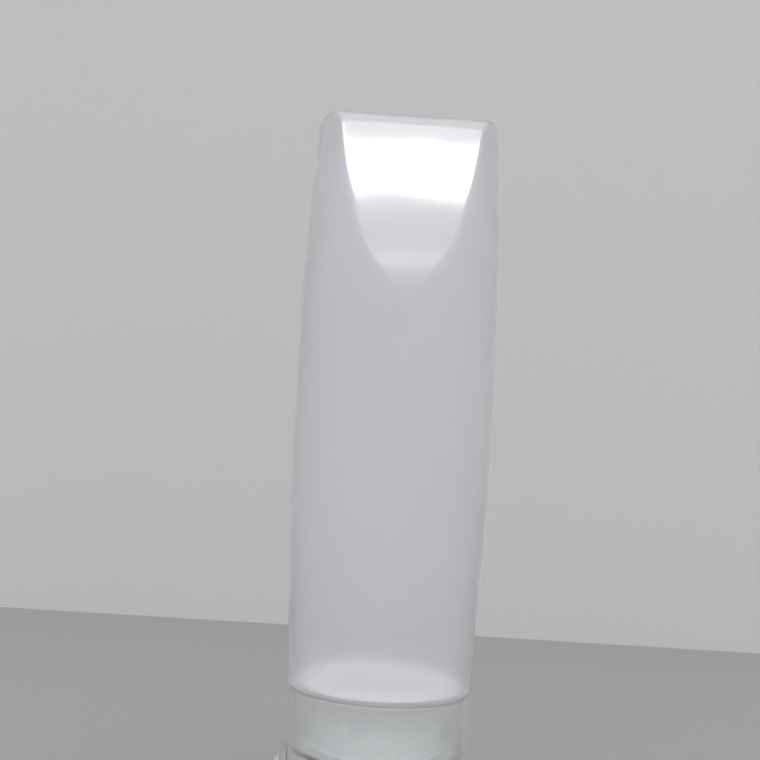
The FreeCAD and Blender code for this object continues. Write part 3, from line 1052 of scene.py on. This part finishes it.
def add_backdrop(values):
    """Plain level floor with a plain upright backdrop at its far edge.

    Both follow the seal, which carries the cap's lift, so that the unscrewed cap stays on the floor.
    """
    far, turn = values.backdrop_distance, stage_turn(values)
    level = turn @ Matrix.Translation((0, (far - STAGE_REACH) / 2, 0))
    upright = turn @ Matrix.Translation((0, far, STAGE_REACH / 2)) @ Matrix.Rotation(math.pi / 2, 4, "X")
    floor = add_sheet("plain_floor", 2 * STAGE_REACH, far + STAGE_REACH, level, values.floor_tint)
    backdrop = add_sheet("plain_backdrop", 2 * STAGE_REACH, STAGE_REACH, upright, values.backdrop_tint)
    for sheet in (floor, backdrop):
        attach(sheet, "seal")


def add_softbox(name, placing, width, height, energy):
    """Rectangular light at a placing, unseen by the camera."""
    data = bpy.data.lights.new(name, "AREA")
    data.shape = "RECTANGLE"
    data.size, data.size_y = width, height
    data.energy = energy
    light = bpy.data.objects.new(name, data)
    light.matrix_world = placing
    light.visible_camera = False
    bpy.context.scene.collection.objects.link(light)
    return light


def add_mirrored_lights(values):
    """Column of softboxes that the flat mirrors, and a grey card at whose edge the reflection ends.

    The card hangs under them and shows in gloss only.
    """
    flat_middle = Vector((0, -0.015, 0.12))

    def mirrored(elevation):
        return facing(flat_middle, MIRRORED_AZIMUTH, elevation, MIRRORED_DISTANCE, values)

    for name, elevation, height, energy in (
        ("key_softbox", 46.2, 0.05, values.key_power),
        ("high_softbox", 49.7, 0.02, values.high_power),
        ("middle_softbox", 43.2, 0.013, values.middle_power),
        ("low_softbox", 38.5, 0.018, values.low_power),
    ):
        add_softbox(name, mirrored(elevation), MIRRORED_WIDTH, height, energy)
    card_elevation, card_height = 31.2, 0.13
    card = add_sheet("grey_card", MIRRORED_WIDTH, card_height, mirrored(card_elevation), values.card_tint)
    card.visible_camera = card.visible_diffuse = card.visible_transmission = card.visible_shadow = False


def add_side_lights(values):
    """Softbox on each side of the bottle, which shows neither in its gloss nor through it."""
    body_middle = Vector((0, 0, 0.07))
    for name, azimuth in (("left_softbox", -95), ("right_softbox", 95)):
        placing = facing(body_middle, azimuth, elevation=8, distance=0.45, values=values)
        light = add_softbox(name, placing, width=0.25, height=0.35, energy=values.side_power)
        light.visible_glossy = light.visible_transmission = False


def soft_world(values):
    """Light from all round whose strength is fill + top * h^2, with h the upward part of the direction."""
    world = bpy.data.worlds.new("soft_fill")
    world.use_nodes = True
    tree = world.node_tree
    split = tree.nodes.new("ShaderNodeSeparateXYZ")
    tree.links.new(tree.nodes.new("ShaderNodeTexCoord").outputs["Generated"], split.inputs[0])
    height = math_node(tree, "MAXIMUM", split.outputs["Z"], 0.0)
    above = math_node(tree, "MULTIPLY", math_node(tree, "MULTIPLY", height, height), values.top_strength)
    background = tree.nodes["Background"]
    background.inputs["Color"].default_value = (*values.fill_tint, 1)
    tree.links.new(math_node(tree, "ADD", above, values.fill_strength), background.inputs["Strength"])
    return world


# Operators

SKIN_MARGIN = 0.0001  # how far past a surface a face's middle may lie and still belong to it


class BuildBottle(bpy.types.Operator):
    """Build the frosted squeeze bottle with its neck and thread"""
    bl_idname = "travel_bottle.build_bottle"
    bl_label = "Build Bottle"

    def execute(self, context):
        values = context.scene.travel_bottle
        sizes = values.bottle
        under_shoulder = sizes.shoulder_height + SKIN_MARGIN
        above_shoulder = under_shoulder + sizes.shoulder_wall

        def which(middle):
            inside = body_distance(middle, sizes, sizes.wall / 2, 0) < 0
            height = middle[:, 2]
            thick = (height < above_shoulder) & (inside | (height < under_shoulder))
            outer_skin, shoulder, inner_skin = 0, 1, 2
            return np.select([thick, inside], [shoulder, inner_skin], outer_skin)

        finishes = finished(values, "Frosted Body", "Milky Shoulder", "Inner Skin")
        piece = add_piece("squeeze_bottle", bottle_grid(sizes), False, finishes, which)
        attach(piece, "bottle")
        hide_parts("bottle")
        return {"FINISHED"}


class BuildCap(bpy.types.Operator):
    """Build the screw cap with its skirt, threaded collar, deck, spout and hinge boss"""
    bl_idname = "travel_bottle.build_cap"
    bl_label = "Build Cap"

    def execute(self, context):
        values = context.scene.travel_bottle
        sizes = values.cap
        reach, floor = sizes.collar_radius + WALL_MARGIN, sizes.deck_inner_height - SKIN_MARGIN

        def which(middle):
            return (np.hypot(middle[:, 0], middle[:, 1]) < reach) & (middle[:, 2] > floor)

        finishes = finished(values, "Frosted Cap", "Milky Collar")
        piece = add_piece("screw_cap", cap_grid(sizes, values.bottle), True, finishes, which)
        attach(piece, "cap")
        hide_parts("cap_base")
        return {"FINISHED"}


class BuildLid(bpy.types.Operator):
    """Build the flip lid with its pin, thumb lip and hinge boss"""
    bl_idname = "travel_bottle.build_lid"
    bl_label = "Build Lid"

    def execute(self, context):
        values = context.scene.travel_bottle
        piece = add_piece("flip_lid", lid_grid(values.cap), False, finished(values, "Frosted Cap"))
        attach(piece, "lid")
        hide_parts("lid")
        return {"FINISHED"}


class BuildHinge(bpy.types.Operator):
    """Build the living hinge that bends from the cap to the lid"""
    bl_idname = "travel_bottle.build_hinge"
    bl_label = "Build Living Hinge"

    def execute(self, context):
        values = context.scene.travel_bottle
        piece = add_piece("living_hinge", web_grid(values.cap), False, finished(values, "Frosted Cap"))
        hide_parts("hinge_strap")
        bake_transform(piece)
        return {"FINISHED"}


class BuildSeal(bpy.types.Operator):
    """Build the foam sealing ring between the neck's rim and the cap's deck"""
    bl_idname = "travel_bottle.build_seal"
    bl_label = "Build Sealing Ring"

    def execute(self, context):
        values = context.scene.travel_bottle
        piece = add_piece("sealing_ring", seal_grid(values.cap), True, finished(values, "Sealing Foam"))
        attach(piece, "seal")
        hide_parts("seal_washer")
        return {"FINISHED"}


class BuildStage(bpy.types.Operator):
    """Build the camera, the plain floor with its backdrop, and the soft lights"""
    bl_idname = "travel_bottle.build_stage"
    bl_label = "Build Stage"

    def execute(self, context):
        scene = context.scene
        values = scene.travel_bottle.stage
        add_camera(values)
        add_backdrop(values)
        add_mirrored_lights(values)
        add_side_lights(values)
        scene.world = soft_world(values)
        scene.view_settings.view_transform = "Standard"
        scene.view_settings.look = "None"
        return {"FINISHED"}


class TravelBottlePanel(bpy.types.Panel):
    """Sidebar panel with the bottle's values and its build steps"""
    bl_idname = "VIEW3D_PT_travel_bottle"
    bl_label = "Travel Bottle"
    bl_space_type = "VIEW_3D"
    bl_region_type = "UI"
    bl_category = "Travel Bottle"

    def draw(self, context):
        values = context.scene.travel_bottle
        for operator in OPERATORS:
            self.layout.operator(operator.bl_idname)
        for title, group in (
            ("Bottle", values.bottle),
            ("Cap and Lid", values.cap),
            ("Finish", values.finish),
            ("Stage", values.stage),
        ):
            box = self.layout.box()
            box.label(text=title)
            for name in group.__annotations__:
                box.prop(group, name)


OPERATORS = (BuildBottle, BuildCap, BuildLid, BuildHinge, BuildSeal, BuildStage)
CLASSES = (BottleSizes, CapSizes, FinishValues, StageValues, TravelBottle, *OPERATORS, TravelBottlePanel)


def register():
    """Register the classes and the values on the scene."""
    for made in CLASSES:
        bpy.utils.register_class(made)
    bpy.types.Scene.travel_bottle = PointerProperty(type=TravelBottle)


def unregister():
    """Remove the values and the classes again."""
    del bpy.types.Scene.travel_bottle
    for made in reversed(CLASSES):
        bpy.utils.unregister_class(made)


def main():
    register()
    bpy.ops.travel_bottle.build_bottle()
    bpy.ops.travel_bottle.build_cap()
    bpy.ops.travel_bottle.build_lid()
    bpy.ops.travel_bottle.build_hinge()
    bpy.ops.travel_bottle.build_seal()
    bpy.ops.travel_bottle.build_stage()


if __name__ == "__main__":
    main()
